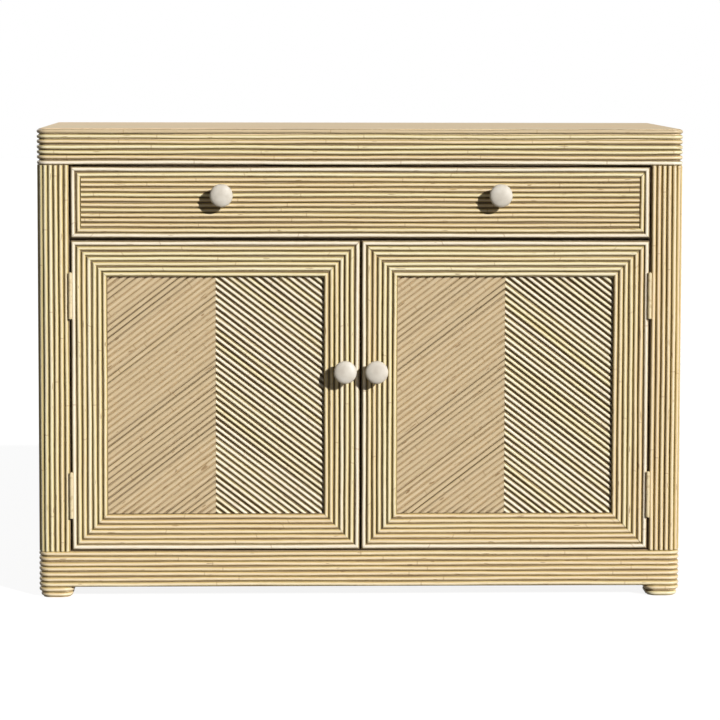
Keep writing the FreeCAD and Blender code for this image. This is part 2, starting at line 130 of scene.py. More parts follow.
def coat(tree, shader, colour, pattern, roughness, relief, strength, depth):
    """Give a surface its colour, a roughness that follows a pattern, and a relief of a depth in metres."""
    tree.links.new(colour, shader.inputs["Base Color"])
    tree.links.new(fade(tree, pattern, 0.3, 0.7, *roughness), shader.inputs["Roughness"])
    bump = shader_node(tree, "Bump", {"Height": relief, "Strength": strength, "Distance": depth})
    tree.links.new(bump.outputs["Normal"], shader.inputs["Normal"])


def object_place(tree):
    """The place of a point in the cabinet, in metres."""
    return shader_node(tree, "TexCoord", {}).outputs["Object"]


def wood_figure(tree, axis, palest, middle, darkest):
    """Colour and fibre of planed wood whose grain runs along an axis, from three screen colours."""
    place = object_place(tree)

    def stretched(along, across):
        """The place, scaled along and across the grain."""
        scale = [along if i == axis else across for i in range(3)]
        return shader_node(tree, "Mapping", {"Vector": place, "Scale": scale}).outputs["Vector"]

    rings = noise(tree, stretched(along=0.7, across=10.0), scale=1.6, detail=2.0)
    waves = reckon(tree, "SINE", reckon(tree, "MULTIPLY", rings, 95.0))
    fibres = noise(tree, stretched(along=9.0, across=420.0), scale=1.0, detail=3.0)
    figure = reckon(tree, "MULTIPLY_ADD", waves, 0.06, fibres)
    stops = ((0.3, darkest), (0.5, middle), (0.68, palest))
    return ramp(tree, figure, *((place, screen_colour(*colour)) for place, colour in stops)), fibres


# Painted shade: a dark brown laid on wood that shows in the gaps between reeds and on the edges of fronts,
# where those gaps fall into shade.
gap_shade_colour = screen_colour(60, 41, 12)
ground_shade = 0.65          # strength of the painted shade on wood that shows between reeds
gap_shade = 0.92             # strength of the painted shade on the edges of a front, in the gap beside it


def solid_wood(name, axis, front_shade=0.0, edge_shade=0.0):
    """Planed wood, whose front can take painted shade where it shows between reeds, and its edges painted
    shade in the gap beside it.
    """
    material, tree, shader = new_material(name)
    colour, fibres = wood_figure(tree, axis, palest=(226, 203, 165), middle=(209, 180, 138),
                                 darkest=(180, 147, 105))
    if front_shade or edge_shade:
        facing = shader_node(tree, "TexCoord", {}).outputs["Normal"]
        facing = shader_node(tree, "SeparateXYZ", {"Vector": facing}).outputs["Y"]
        shade_amount = ramp(tree, fade(tree, facing, -1.0, 1.0), (0.2, grey(front_shade)), (0.3, grey(edge_shade)),
                     (0.7, grey(edge_shade)), (0.8, grey(0.0)))
        # Painted shade, on the front face and on the sideways edges.
        colour = blend(tree, "MIX", shade_amount, colour, gap_shade_colour)
    coat(tree, shader, colour, fibres, (0.62, 0.5), fibres, strength=0.3, depth=0.0003)
    return material


def finish_nodes(material, *names):
    """Give CAD pieces a finish."""
    for name in names:
        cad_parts[name].material_slots[0].material = material


wood_along_x = solid_wood("solid_wood_along_x", 0)
wood_along_y = solid_wood("solid_wood_along_y", 1)
wood_along_z = solid_wood("solid_wood_along_z", 2)
# The next four finishes carry painted shade on their fronts, and the last two on their edges as well.
ground_along_x = solid_wood("shade_painted_ground_along_x", 0, ground_shade)
ground_along_z = solid_wood("shade_painted_ground_along_z", 2, ground_shade)
front_along_x = solid_wood("shade_painted_front_along_x", 0, ground_shade, gap_shade)
front_along_z = solid_wood("shade_painted_front_along_z", 2, ground_shade, gap_shade)
finish_nodes(ground_along_x, "top_front_rail", "bottom_front_rail")
finish_nodes(front_along_x, "drawer_rail")
finish_nodes(wood_along_y, "drawer_runners", "drawer_guides", "drawer_kickers", "shelf_cleats")
finish_nodes(ground_along_z, "front_left_post", "front_right_post")
finish_nodes(wood_along_z, "rear_left_post", "rear_right_post")
finish_nodes(wood_along_x, "front_left_foot", "front_right_foot", "rear_left_foot", "rear_right_foot")


# ---------------------------------------------------------------- plywood panels
# Sides, deck, shelf and back are plywood: a pale face veneer over crossed plies that show at the edges.
# They are set in housings and rebates of the solid wood, glued and pinned.

ply_thickness = 0.003
outer_face_shade = 0.5       # strength of the painted shade on plywood that shows between reeds
inner_reach = 0.05           # faces nearer to the middle of the cabinet take no painted shade
outer_reach = 0.15           # faces further out take all of the painted shade


def plywood(name, panel, grain_axis, thickness_axis, outer_shade=0.0):
    """Plywood as thick as a panel, its face grain along one axis and its plies stacked along another.

    Under reeds its outer face, the one turned away from the middle of the cabinet, takes painted shade where
    it shows between them."""
    material, tree, shader = new_material(name)
    low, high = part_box(panel)
    thickness = high[thickness_axis] - low[thickness_axis]
    face, fibres = wood_figure(tree, grain_axis, palest=(231, 208, 170), middle=(217, 188, 146),
                               darkest=(196, 162, 117))
    coordinates = shader_node(tree, "TexCoord", {}).outputs
    depth = shader_node(tree, "SeparateXYZ", {"Vector": coordinates["Object"]}).outputs[thickness_axis]
    facing = shader_node(tree, "SeparateXYZ", {"Vector": coordinates["Normal"]}).outputs[thickness_axis]
    ply_count = max(3, round(thickness / ply_thickness) + 1)
    plies = reckon(tree, "SINE", reckon(tree, "MULTIPLY", depth, math.pi * ply_count / thickness))
    edge = ramp(tree, fade(tree, plies, -0.25, 0.25), (0.0, screen_colour(158, 119, 76)),
                (1.0, screen_colour(216, 186, 142)))
    edge = blend(tree, "MULTIPLY", 0.55, edge, face)
    on_face = fade(tree, reckon(tree, "ABSOLUTE", facing), 0.4, 0.6)
    colour = blend(tree, "MIX", on_face, edge, face)
    # Painted shade on the outer face, where it shows between the reeds.
    if outer_shade:
        outward = reckon(tree, "MULTIPLY", facing, depth)
        shade_amount = fade(tree, outward, inner_reach, outer_reach, 0.0, outer_shade)
        colour = blend(tree, "MIX", shade_amount, colour, gap_shade_colour)
    coat(tree, shader, colour, fibres, (0.66, 0.54), fibres, strength=0.25, depth=0.0003)
    return material


side_plywood = plywood("side_plywood", "left_side_panel", 2, 0, outer_face_shade)
finish_nodes(side_plywood, "left_side_panel", "right_side_panel")
finish_nodes(plywood("deck_plywood", "deck_panel", 0, 2), "deck_panel", "shelf")
finish_nodes(plywood("back_plywood", "back_panel", 0, 1), "back_panel")


# ---------------------------------------------------------------- top
# The top is a plywood board with a fine, straight-grained face veneer along the width, lacquered satin.
# Its front corners are rounded to the posts, and the first reed of the band covers its edge.

def top_veneer():
    """Pale veneer with broad faint clouds."""
    material, tree, shader = new_material("top_veneer")
    colour, fibres = wood_figure(tree, 0, palest=(237, 216, 180), middle=(232, 209, 171),
                                 darkest=(219, 193, 154))
    drawn_out = {"Vector": object_place(tree), "Scale": (1.3, 9.0, 9.0)}
    cloud = noise(tree, shader_node(tree, "Mapping", drawn_out).outputs["Vector"], scale=1.4, detail=3.0)
    warmth = ramp(tree, cloud, (0.36, screen_colour(255, 249, 242)), (0.64, screen_colour(249, 249, 242)))
    colour = blend(tree, "MULTIPLY", 1.0, colour, warmth)
    shader.inputs["Specular IOR Level"].default_value = 0.25
    coat(tree, shader, colour, cloud, (0.5, 0.4), fibres, strength=0.15, depth=0.0002)
    return material


finish_nodes(top_veneer(), "top_panel")


# ---------------------------------------------------------------- reeds of the feet
# Each foot is a small block with two steps, and reeds are bent or laid round each step and pinned.
# The reeds are split rattan, flat at the back and round at the front, straw-coloured under clear lacquer.

reed_pitch = 0.0085          # from reed to reed, side by side
reed_gap = 0.0011            # the dark line between two reeds
reed_width = reed_pitch - reed_gap
reed_height = 0.004
narrowest = 0.94             # share of its full width that a narrow reed has
flattest = 0.93              # share of its full height that a flat reed has
end_gap = (0.00005, 0.0003)  # limits of what is left free at each end of a straight reed
straight_wander = 0.00045    # of a straight reed to each side
bent_wander = 0.0006         # of a bent reed to each side
cane_sides = 16              # of the round cane that is split in two
scar_spacing = 0.34          # between the ring-shaped scars of leaves
corner_radius = 0.015        # of the wood under the reeds
corner_steps = 8             # of a reed in a corner
pale_tone = 1.5              # of the bleached reeds along the edges of a front
tan_tone = -1.2              # of the darkest reeds
luck = random.Random(26)     # the small differences between one reed and the next

right = Vector((1.0, 0.0, 0.0))
backward = Vector((0.0, 1.0, 0.0))
upward = Vector((0.0, 0.0, 1.0))


def reed_lacquer():
    """Lacquered rattan with a painted highlight on its crests and painted shade on its flanks and at its
    edges; reed_run holds metres along the reed, -1 to 1 across it, and the reed's own tone.
    """
    material, tree, shader = new_material("lacquered_reed")
    # The first two colours are a painted highlight for the crests and a painted warm shade for the flanks;
    # the last is the painted shade of the grooves between reeds.
    crest_highlight = screen_colour(242, 233, 215)
    flank_shade = screen_colour(182, 159, 70)
    tan_tint = screen_colour(198, 179, 145)
    fleck = screen_colour(126, 92, 52)
    leaf_scar = screen_colour(150, 118, 76)
    groove_shade_colour = screen_colour(66, 46, 8)
    run = shader_node(tree, "Attribute", {}, attribute_name="reed_run")
    length, side, tone = shader_node(tree, "SeparateXYZ", {"Vector": run.outputs["Vector"]}).outputs

    def streaks(along, across, detail):
        """Noise that runs with the fibres and differs from reed to reed."""
        sockets = {"X": reckon(tree, "MULTIPLY", length, along), "Y": reckon(tree, "MULTIPLY", side, across),
                   "Z": reckon(tree, "MULTIPLY", tone, 400.0)}
        place = shader_node(tree, "CombineXYZ", sockets).outputs["Vector"]
        return noise(tree, place, scale=1.0, detail=detail)

    clouds = streaks(along=3.5, across=0.35, detail=2.0)
    fibres = streaks(along=45.0, across=9.0, detail=3.0)
    flecks = streaks(along=50.0, across=1.6, detail=0.0)
    # Patches along each reed that make its painted groove shade stronger or weaker.
    groove_shade_noise = streaks(along=3.0, across=0.0, detail=1.0)
    shade = reckon(tree, "MULTIPLY_ADD", clouds, 0.6, tone)
    colour = ramp(tree, fade(tree, shade, 0.2, 1.7),
                  (0.0, screen_colour(211, 186, 143)),
                  (0.3, screen_colour(216, 194, 151)),
                  (0.55, screen_colour(217, 201, 155)),
                  (0.75, screen_colour(221, 210, 167)),
                  (1.0, screen_colour(229, 219, 200)))
    edge = reckon(tree, "ABSOLUTE", side)
    # Painted highlight: the middle of each reed is mixed toward a whiter crest.
    colour = blend(tree, "MIX", fade(tree, edge, 0.0, 0.5, 0.46, 0.0), colour, crest_highlight)
    # Painted shade: the flanks are mixed toward a deep yellow, as warm light bounced between the reeds.
    colour = blend(tree, "MIX", fade(tree, edge, 0.35, 0.75, 0.0, 0.5), colour, flank_shade)
    # Low tones are mixed toward tan. On the rising chevron halves this tan is painted light, the look of
    # reeds with the light running along them.
    colour = blend(tree, "MIX", fade(tree, tone, tan_tone, -0.1, 1.0, 0.0), colour, tan_tint)
    fibre_tint = ramp(tree, fibres, (0.3, screen_colour(232, 222, 204)), (0.62, grey(1.0)))
    colour = blend(tree, "MULTIPLY", 0.8, colour, fibre_tint)
    colour = blend(tree, "MIX", fade(tree, flecks, 0.78, 0.83, 0.0, 0.7), colour, fleck)
    from_scar = reckon(tree, "PINGPONG", length, scar_spacing / 2)
    colour = blend(tree, "MIX", fade(tree, from_scar, 0.0003, 0.0014, 0.45, 0.0), colour, leaf_scar)
    # Painted shade: each reed darkens toward its edges, where the grooves between reeds fall into shade, more
    # in some stretches than others.
    groove_shade_amount = fade(tree, groove_shade_noise, 0.36, 0.6, 0.6, 1.0)
    groove = reckon(tree, "MULTIPLY", fade(tree, edge, 0.62, 0.97, 0.0, 0.95), groove_shade_amount)
    colour = blend(tree, "MIX", groove, colour, groove_shade_colour)
    shader.inputs["Specular IOR Level"].default_value = 0.35
    coat(tree, shader, colour, fibres, (0.48, 0.38), fibres, strength=0.35, depth=0.0003)
    return material


reed_finish = reed_lacquer()


def set_reed_run(reed, length, side, tone=None):
    """Store where each point of a reed lies along and across it, with a given tone or one drawn by lot."""
    if tone is None:
        tone = luck.random()
    values = np.column_stack((length + luck.uniform(0.0, 9.0), side, np.full(len(side), tone)))
    attributes = reed.data.attributes
    run = attributes.get("reed_run") or attributes.new("reed_run", "FLOAT_VECTOR", "POINT")
    run.data.foreach_set("vector", values.astype(np.float32).ravel())


def points_of(piece):
    """Places of a piece's points, one to a row."""
    points = np.empty(3 * len(piece.data.vertices), np.float32)
    piece.data.vertices.foreach_get("co", points)
    return points.reshape(-1, 3)


def move_points(piece, points):
    """Put a piece's points at new places."""
    piece.data.vertices.foreach_set("co", points.astype(np.float32).ravel())


def copy_of(piece):
    """A copy with its own mesh."""
    twin = piece.copy()
    twin.data = piece.data.copy()
    bpy.context.collection.objects.link(twin)
    return twin


def edit_all(piece):
    """Open one piece for editing with all of it selected."""
    bpy.ops.object.select_all(action="DESELECT")
    piece.select_set(True)
    bpy.context.view_layer.objects.active = piece
    bpy.ops.object.mode_set(mode="EDIT")
    bpy.ops.mesh.select_all(action="SELECT")


def pick_faces(piece, way):
    """In edit mode, select only the faces that look about one way."""
    bpy.ops.mesh.select_mode(type="FACE")
    bpy.ops.mesh.select_all(action="DESELECT")
    bpy.ops.object.mode_set(mode="OBJECT")
    for face in piece.data.polygons:
        face.select = face.normal.dot(way) > 0.9
    bpy.ops.object.mode_set(mode="EDIT")


def drift(length, most):
    """A wander from side to side along a reed, in long waves with a tremble, no further than most."""
    wander = np.sin(length * luck.uniform(9.0, 16.0) + luck.uniform(0.0, 6.3))
    tremble = np.sin(length * luck.uniform(28.0, 55.0) + luck.uniform(0.0, 6.3))
    return most * (0.7 * wander + 0.3 * tremble)


def reed_blank(steps):
    """A straight reed one unit long, high and half wide along +Z, for copying: a split cylinder in steps."""
    bpy.ops.object.select_all(action="DESELECT")
    bpy.ops.mesh.primitive_cylinder_add(vertices=cane_sides, radius=1.0, depth=1.0, location=(0.0, 0.0, 0.5))
    blank = bpy.context.object
    bpy.ops.object.transform_apply(location=True)
    edit_all(blank)
    bpy.ops.mesh.bisect(plane_co=(0, 0, 0), plane_no=(0, 1, 0), clear_inner=True, use_fill=True)
    pick_faces(blank, upward)
    for _ in range(steps - 1):
        bpy.ops.mesh.extrude_region_move(TRANSFORM_OT_translate={"value": (0.0, 0.0, 1.0)})
    bpy.ops.mesh.select_all(action="SELECT")
    bpy.ops.transform.resize(value=(1.0, 1.0, 1.0 / steps), center_override=(0.0, 0.0, 0.0))
    bpy.ops.object.mode_set(mode="OBJECT")
    return blank


def lay_reed(blank, start, end, out, width=reed_width, mitred=False, wander=straight_wander, tone=None,
             shade_spread=1.0):
    """A copy of the blank, flat side on the wood from start to end and round side to out.

    A mitred reed has 45 degree ends and is longer on the side away from the middle of its ring.
    Its edges take painted shade, over a wider band where the last argument is above 1 and a narrower one
    below."""
    reed = copy_of(blank)
    side, rise, run = points_of(reed).T.copy()
    along = (end - start).normalized()
    across = out.cross(along)
    joint = luck.uniform(*end_gap)
    length = (end - start).length - 2 * joint
    half = width / 2 * luck.uniform(narrowest, 1.0)
    place_across = side * half + drift(run * length, wander)
    place_along = joint + run * length
    if mitred:
        place_along += (1.0 - 2.0 * run) * side * half
    place_out = rise * reed_height * luck.uniform(flattest, 1.0)
    points = np.outer(place_along, along) + np.outer(place_across, across) + np.outer(place_out, out)
    move_points(reed, points + np.array(start))
    set_reed_run(reed, run * length, side * shade_spread, tone)
    return reed


def bend_reed(start, heading, out, moves):
    """A level reed from start: each move is a straight run or a quarter turn to the right, in steps."""
    bpy.ops.object.select_all(action="DESELECT")
    bpy.ops.mesh.primitive_circle_add(vertices=cane_sides, radius=1.0, fill_type="NGON")
    reed = bpy.context.object
    edit_all(reed)
    bpy.ops.mesh.select_mode(type="FACE")
    bpy.ops.mesh.bisect(plane_co=(0, 0, 0), plane_no=(0, 1, 0), clear_inner=True)
    bpy.ops.object.mode_set(mode="OBJECT")
    axes = (out.cross(heading) * reed_width / 2, out * reed_height, heading)
    reed.data.transform(Matrix.Translation(start) @ Matrix(axes).transposed().to_4x4())

    place, length = start.copy(), 0.0
    stations = [(place, length)]
    edit_all(reed)
    for kind, size, steps in moves:
        if kind == "run":
            for _ in range(steps):
                bpy.ops.mesh.extrude_region_move(TRANSFORM_OT_translate={"value": heading * size / steps})
                place = place + heading * size / steps
                length += size / steps
                stations.append((place, length))
        else:
            centre = place - out * size
            bpy.ops.mesh.spin(steps=steps, angle=math.pi / 2, center=centre, axis=(0.0, 0.0, 1.0))
            for i in range(steps):
                turn = Matrix.Rotation(-math.pi / 2 * (i + 1) / steps, 3, "Z")
                length += size * math.pi / 2 / steps
                stations.append((centre + turn @ (place - centre), length))
            place = stations[-1][0]
            heading, out = turn @ heading, turn @ out
    bpy.ops.mesh.select_all(action="SELECT")
    bpy.ops.mesh.normals_make_consistent(inside=False)
    bpy.ops.object.mode_set(mode="OBJECT")

    line = np.array([station for station, _ in stations])
    runs = np.array([run for _, run in stations])
    points = points_of(reed)
    nearest = np.linalg.norm(points[:, None, :2] - line[None, :, :2], axis=2).argmin(axis=1)
    set_reed_run(reed, runs[nearest], (points[:, 2] - start.z) / (reed_width / 2))
    return reed


def lift_bent(pattern, lift=0.0, mirrored=False, tone=None, shade_spread=1.0):
    """A copy of a bent reed, raised by lift, with its own width and wander."""
    reed = copy_of(pattern)
    values = np.empty(3 * len(reed.data.vertices), np.float32)
    reed.data.attributes["reed_run"].data.foreach_get("vector", values)
    length, side, _ = values.reshape(-1, 3).T
    length = length - length.min()
    points = points_of(reed)
    narrowing = reed_width / 2 * luck.uniform(0.0, 1.0 - narrowest)
    points[:, 2] += lift + drift(length, bent_wander) - side * narrowing
    if mirrored:
        points[:, 0] *= -1.0
    move_points(reed, points)
    if mirrored:
        reed.data.flip_normals()
    set_reed_run(reed, length, side * shade_spread, tone)
    return reed


def join(pieces):
    """Join pieces into the first of them, which stays selected."""
    bpy.ops.object.select_all(action="DESELECT")
    for piece in pieces:
        piece.select_set(True)
    bpy.context.view_layer.objects.active = pieces[0]
    if len(pieces) > 1:
        bpy.ops.object.join()
    return pieces[0]


def dress(piece, name, material, crease):
    """Give the selected piece its name and finish, smooth but for edges sharper than crease, in degrees."""
    piece.name = name
    piece.data.materials.clear()
    piece.data.materials.append(material)
    bpy.ops.object.shade_smooth_by_angle(angle=math.radians(crease))


def bind_reeds(reeds, name, body, node):
    """Join reeds that are glued to the same pieces, and let them stand for their CAD node."""
    piece = join(reeds)
    move_points(piece, np.clip(points_of(piece), np.array(cad_low), np.array(cad_high)))
    dress(piece, name, reed_finish, 50)
    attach(piece, body)
    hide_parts(node)


foot_sole = 0.0005           # from the floor to the reeds
foot_taper = 0.003           # of the lower step against the upper one, on each side
foot_tones = (0.4, 1.0)
# Low down the painted groove shade is narrower, as light from the floor fills the grooves.
foot_shade_spread = 0.85
short_blank = reed_blank(steps=4)
foot_patterns = []
for foot_name, rounded in (("front_left_foot", True), ("rear_left_foot", False)):
    foot_low, foot_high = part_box(foot_name)
    step_height = (foot_high.z - foot_sole) / 2
    for step in range(2):
        inset = foot_taper * (1 - step)
        x0, x1 = foot_low.x + inset, foot_high.x - inset
        y0, y1 = foot_low.y + inset, foot_high.y - inset
        z = foot_sole + (step + 0.5) * step_height
        if rounded:
            straight = y1 - y0 - corner_radius
            front_run = x1 - x0 - 2 * corner_radius
            moves = (("run", straight, 4), ("turn", corner_radius, corner_steps), ("run", front_run, 3),
                     ("turn", corner_radius, corner_steps), ("run", straight, 4))
            foot_patterns.append(bend_reed(Vector((x1, y1, z)), -backward, right, moves))
            straight_places = [((x0, y1), (x1, y1), backward)]
        else:
            straight_places = [((x0 - reed_height, y), (x1 + reed_height, y), out)
                               for y, out in ((y0, -backward), (y1, backward))]
            straight_places += [((x, y0), (x, y1), out) for x, out in ((x0, -right), (x1, right))]
        for start, end, out in straight_places:
            start, end = Vector((*start, z)), Vector((*end, z))
            foot_patterns.append(lay_reed(short_blank, start, end, out, wander=0.0))
foot_reeds = [lift_bent(pattern, mirrored=mirrored, tone=luck.uniform(*foot_tones), shade_spread=foot_shade_spread)
              for pattern in foot_patterns for mirrored in (False, True)]
for pattern in foot_patterns:
    bpy.data.objects.remove(pattern)
bind_reeds(foot_reeds, "foot_reed_wraps", "cabinet", "foot_reeds")


# ---------------------------------------------------------------- reed bands
# Seven level reeds cover the bottom rail and seven the top rail. Each is bent round both rounded corners
# and runs along the sides to the back, with its joints at the posts sanded flush under the lacquer.

band_count = 7
front_steps = 30             # of a reed over the whole width
side_steps = 16              # of a reed from front to back
seam = 0.0002                # between reeds that end against each other
even_tones = (0.1, 0.9)      # of the reeds of the top band and the drawer
bottom_tones = (0.2, 0.6)
# Low down the painted groove shade is narrower, as light from the floor fills the grooves.
bottom_shade_spread = 0.82
wood_left, wood_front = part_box("front_left_post")[0].xy
post_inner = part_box("front_left_post")[1].x
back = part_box("top_panel")[1].y
bottom_band_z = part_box("bottom_front_rail")[0].z
deck_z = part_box("bottom_front_rail")[1].z
top_band_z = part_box("top_front_rail")[0].z

side_run = back - wood_front - corner_radius
front_run = -2 * (wood_left + corner_radius)
band_moves = (("run", side_run, side_steps), ("turn", corner_radius, corner_steps),
              ("run", front_run, front_steps),
              ("turn", corner_radius, corner_steps), ("run", side_run, side_steps))
course = bend_reed(Vector((-wood_left, back, 0.0)), -backward, right, band_moves)
bottom_reeds = []
for i in range(band_count):
    z = bottom_band_z + (i + 0.5) * reed_pitch
    tone = luck.uniform(*bottom_tones)
    bottom_reeds.append(lift_bent(course, z, tone=tone, shade_spread=bottom_shade_spread))
bind_reeds(bottom_reeds, "bottom_band_reed_wrap", "cabinet", "bottom_band_reeds")

top_reeds = []
for i in range(band_count):
    z = top_band_z + (i + 0.5) * reed_pitch
    if i == 0:
        tone = pale_tone
    elif i == band_count - 1:
        tone = tan_tone
    else:
        tone = luck.uniform(*even_tones)
    top_reeds.append(lift_bent(course, z, tone=tone))
bind_reeds(top_reeds, "top_band_reed_wrap", "cabinet", "top_band_reeds")
bpy.data.objects.remove(course)


# ---------------------------------------------------------------- upright reeds of posts and sides
# Between the bands stand upright reeds: four on the front of each post, three round its corner,
# and a row along the side to the back. All are cut square and glued to the wood.

post_reed_count = 4
corner_reed_count = 3
corner_step = math.pi / 2 / corner_reed_count
corner_width = 2 * corner_radius * math.tan(corner_step / 2) - seam
side_start = wood_front + corner_radius
side_count = round((back - side_start) / reed_pitch)
side_pitch = (back - side_start) / side_count
bottom_z = deck_z + seam
top_z = top_band_z - seam
upright_blank = reed_blank(steps=18)


def clad_wall(side_name, mirror, tones, shade_spread):
    """Upright reeds from the inner edge of a post round its corner to the back; mirror is 1 on the left."""
    wall_reeds = []

    def stand(x, y, out_x, out_y, width=reed_width):
        """An upright reed at a place of the left wall, or at its mirror image."""
        out = Vector((mirror * out_x, out_y, 0.0))
        foot = Vector((mirror * x, y, bottom_z))
        head = foot + upward * (top_z - bottom_z)
        tone = luck.uniform(*tones)
        wall_reeds.append(lay_reed(upright_blank, foot, head, out, width, tone=tone, shade_spread=shade_spread))

    for i in range(post_reed_count):
        stand(post_inner - (i + 0.5) * reed_pitch, wood_front, 0.0, -1.0)
    for i in range(corner_reed_count):
        sine, cosine = math.sin((i + 0.5) * corner_step), math.cos((i + 0.5) * corner_step)
        x = wood_left + corner_radius * (1 - sine)
        y = wood_front + corner_radius * (1 - cosine)
        stand(x, y, -sine, -cosine, corner_width)
    for i in range(side_count):
        stand(wood_left, side_start + (i + 0.5) * side_pitch, -1.0, 0.0, side_pitch - reed_gap)
    bind_reeds(wall_reeds, side_name + "_wall_reed_cladding", "cabinet", side_name + "_wall_reeds")


clad_wall("left", 1, tones=(0.6, 1.0), shade_spread=0.96)
clad_wall("right", -1, tones=(-0.2, 0.5), shade_spread=0.88)


# ---------------------------------------------------------------- drawer
# The drawer is a box of solid wood with a plywood bottom in grooves; its sides are housed in the front.
# Two mitred rings of reed frame its face, and ten reeds fill the field between them.

finish_nodes(front_along_x, "drawer_front")
finish_nodes(wood_along_x, "drawer_back")
finish_nodes(wood_along_y, "drawer_left_side", "drawer_right_side")
finish_nodes(plywood("drawer_plywood", "drawer_bottom", 0, 2), "drawer_bottom")

short_reed = 0.2             # up to this length a reed is made from the short blank


def lay_rings(x0, x1, z0, z1, count, sides):
    """Rings of mitred reeds on an upright front, from its edge inwards.

    The sides give the limits of tone and the spread of painted groove shade of the bottom, right, top and
    left reeds."""
    reeds = []
    for i in range(count):
        inset = (i + 0.5) * reed_pitch
        corners = [Vector((x, wood_front, z))
                   for x, z in ((x0 + inset, z0 + inset), (x1 - inset, z0 + inset),
                                (x1 - inset, z1 - inset), (x0 + inset, z1 - inset))]
        for start, end, (tones, shade_spread) in zip(corners, corners[1:] + corners[:1], sides):
            blank = long_blank if (end - start).length > short_reed else short_blank
            tone = pale_tone if i == 0 else luck.uniform(*tones)
            reeds.append(lay_reed(blank, start, end, -backward, mitred=True, tone=tone, shade_spread=shade_spread))
    return reeds


long_blank = reed_blank(front_steps)
drawer_ring_count = 2
drawer_field_count = 10
field_wander = 0.0005
drawer_low, drawer_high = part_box("drawer_front")
drawer_reeds = lay_rings(drawer_low.x, drawer_high.x, drawer_low.z, drawer_high.z, drawer_ring_count,
                         ((even_tones, 1.0),) * 4)
drawer_inset = drawer_ring_count * reed_pitch
drawer_pitch = (drawer_high.z - drawer_low.z - 2 * drawer_inset) / drawer_field_count
for i in range(drawer_field_count):
    z = drawer_low.z + drawer_inset + (i + 0.5) * drawer_pitch
    start = Vector((drawer_low.x + drawer_inset + seam, wood_front, z))
    end = Vector((drawer_high.x - drawer_inset - seam, wood_front, z))
    tone = luck.uniform(*even_tones)
    drawer_reeds.append(lay_reed(long_blank, start, end, -backward, drawer_pitch - reed_gap,
                                 wander=field_wander, tone=tone))
bind_reeds(drawer_reeds, "drawer_face_reeds", "drawer", "drawer_front_reeds")


# ---------------------------------------------------------------- doors
# Each door is a frame of two stiles and two rails, grooved and stub-tenoned, round a plywood panel.
# Seven mitred rings of reed cover the frame. On the panel, broad reeds rise to the middle and
# narrower ones fall from it. Both halves are the same reeds, coloured apart as painted light: the rising
# ones tan, as reeds look with the light running along them, the falling ones paler with a painted
# highlight and wider painted shade at their edges.

door_plywood = plywood("door_plywood", "left_door_panel", 2, 1, outer_face_shade)
finish_nodes(door_plywood, "left_door_panel", "right_door_panel")
for door in ("left_door", "right_door"):
    finish_nodes(front_along_z, door + "_hinge_stile", door + "_lock_stile")
    finish_nodes(front_along_x, door + "_top_rail", door + "_bottom_rail")

frame_ring_count = 7
frame_looks = {              # limits of tone and the spread of painted groove shade of the bottom, right, top and left reeds
    # The bottom reeds take narrower painted groove shade, as light from the floor fills their grooves.
    "left_door": (((0.1, 0.5), 0.82), ((0.5, 1.1), 1.0), ((0.5, 1.1), 1.0), ((0.6, 1.1), 0.9)),
    "right_door": (((0.1, 0.5), 0.82), ((0.3, 0.9), 0.9), ((0.5, 1.1), 1.0), ((0.5, 1.1), 1.0)),
}
hinge_length = 0.076
hinge_inset = 0.053          # from the ends of a door
barrel_radius = 0.0032
relief_gap = 0.0005          # round the barrel, in the groove cut into the outer reed
relief_margin = 0.001        # of that groove past each end of the barrel
panel_recess = 0.007         # behind the wood of the frame
chevron_angle = math.radians(37.3)
# The two halves below differ only in painted light: tan tones and narrow painted groove shade where the light
# runs along the reeds, pale tones as a painted highlight and wide painted groove shade where it falls across
# them.
tan_half_widths = (1.06, 1.16)       # shares of the usual reed width
tan_half_tones = (-1.15, -0.85)
tan_half_shade_spread = (0.58, 0.62, 0.66, 0.7, 0.98)
tan_half_wander = 0.0003
pale_half_tones = (1.0, 1.4)
pale_half_shade_spread = 1.26
pale_half_wander = 0.00025
field_blank = reed_blank(steps=10)
door_low_z, door_high_z = (corner.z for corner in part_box("left_door_hinge_stile"))
hinge_starts = (door_low_z + hinge_inset, door_high_z - hinge_inset - hinge_length)


def cut_away(piece, cutter):
    """Cut a shape out of a piece, and remove the shape."""
    cut = piece.modifiers.new("cut", "BOOLEAN")
    cut.object = cutter
    cut.operation = "DIFFERENCE"
    bpy.context.view_layer.objects.active = piece
    bpy.ops.object.modifier_apply(modifier=cut.name)
    bpy.data.objects.remove(cutter)


def relieve_at_hinges(reed, barrel_x, barrel_y):
    """Cut a hollow for each hinge barrel into the reed beside it."""
    for z in hinge_starts:
        bpy.ops.object.select_all(action="DESELECT")
        bpy.ops.mesh.primitive_cylinder_add(vertices=32, radius=barrel_radius + relief_gap,
                                            depth=hinge_length + 2 * relief_margin,
                                            location=(barrel_x, barrel_y, z + hinge_length / 2))
        cut_away(reed, bpy.context.object)
    side, _, length = points_of(reed).T
    middle = (side.min() + side.max()) / 2
    set_reed_run(reed, length, (side - middle) / (reed_width / 2), pale_tone)


